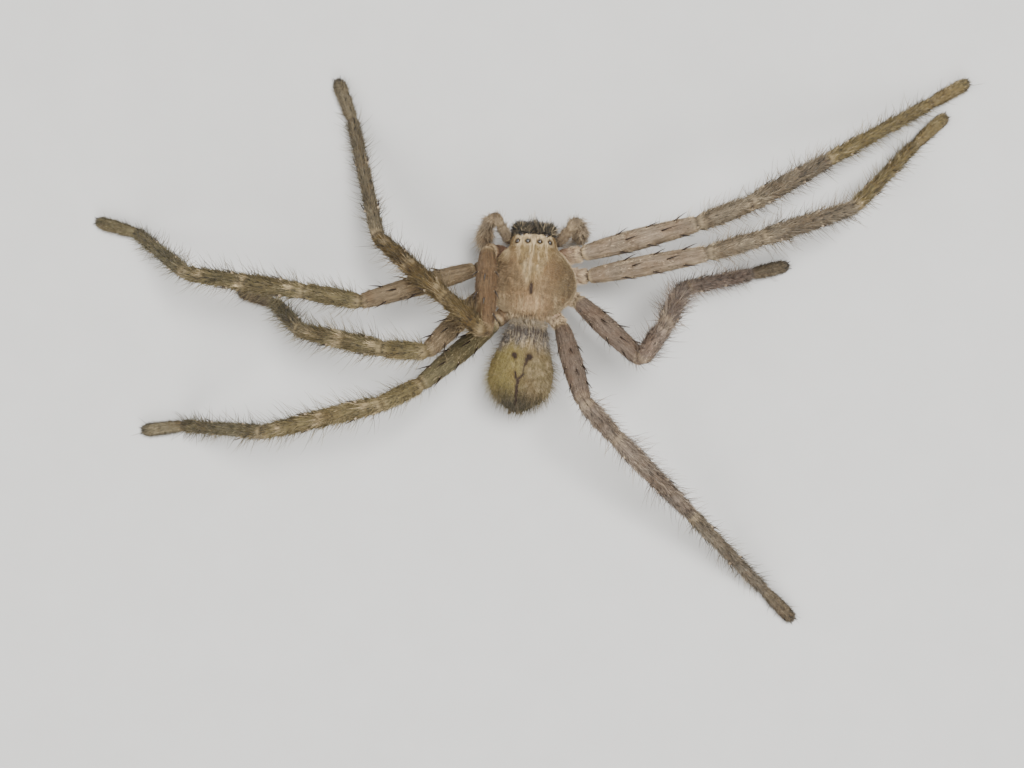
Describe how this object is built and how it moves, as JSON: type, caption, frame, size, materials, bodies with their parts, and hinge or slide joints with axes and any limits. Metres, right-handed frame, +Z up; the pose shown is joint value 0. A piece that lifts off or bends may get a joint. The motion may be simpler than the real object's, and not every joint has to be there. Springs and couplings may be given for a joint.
{
  "type": "huntsman spider",
  "caption": "Life-size model of a huntsman spider standing on eight flat feet, legs arched and spread, one front leg folded high over its neighbours.",
  "frame": {"origin": "on the floor, under the middle of the spider's bounding box", "axes": "+X to the spider's right, +Y towards its head along the middle of the carapace, +Z up"},
  "size_m": [0.1036, 0.0664, 0.0176],
  "materials": {
    "carapace": "tan-brown skin under short tan and cream hair",
    "abdomen": "cream-yellow and grey hair over soft skin",
    "leg": "taupe skin under short hair",
    "underside": "brown plates under thin hair",
    "jaw": "dark grey-brown, bristly",
    "fang": "polished black-brown",
    "eye": "glossy black"
  },
  "bodies": {
    "root": {"abdomen": "abdomen", "carapace": "carapace", "eye_left_back_middle": "eye", "eye_left_back_side": "eye", "eye_left_front_middle": "eye", "eye_left_front_side": "eye", "eye_right_back_middle": "eye", "eye_right_back_side": "eye", "eye_right_front_middle": "eye", "eye_right_front_side": "eye", "fang_left": "fang", "fang_right": "fang", "jaw_left": "jaw", "jaw_right": "jaw", "leg_left_1_femur": "leg", "leg_left_1_foot": "leg", "leg_left_1_hip": "leg", "leg_left_1_tibia": "leg", "leg_left_2_femur": "leg", "leg_left_2_foot": "leg", "leg_left_2_hip": "leg", "leg_left_2_tibia": "leg", "leg_left_3_femur": "leg", "leg_left_3_foot": "leg", "leg_left_3_hip": "leg", "leg_left_3_tibia": "leg", "leg_left_4_femur": "leg", "leg_left_4_foot": "leg", "leg_left_4_hip": "leg", "leg_left_4_tibia": "leg", "leg_right_1_femur": "leg", "leg_right_1_foot": "leg", "leg_right_1_hip": "leg", "leg_right_1_tibia": "leg", "leg_right_2_femur": "leg", "leg_right_2_foot": "leg", "leg_right_2_hip": "leg", "leg_right_2_tibia": "leg", "leg_right_3_femur": "leg", "leg_right_3_foot": "leg", "leg_right_3_hip": "leg", "leg_right_3_tibia": "leg", "leg_right_4_femur": "leg", "leg_right_4_foot": "leg", "leg_right_4_hip": "leg", "leg_right_4_tibia": "leg", "mouth_left": "underside", "mouth_right": "underside", "palp_left_femur": "leg", "palp_left_tarsus": "leg", "palp_right_femur": "leg", "palp_right_tarsus": "leg", "spinnerets": "underside", "sternum": "underside", "waist": "underside"}
  },
  "joints": []
}
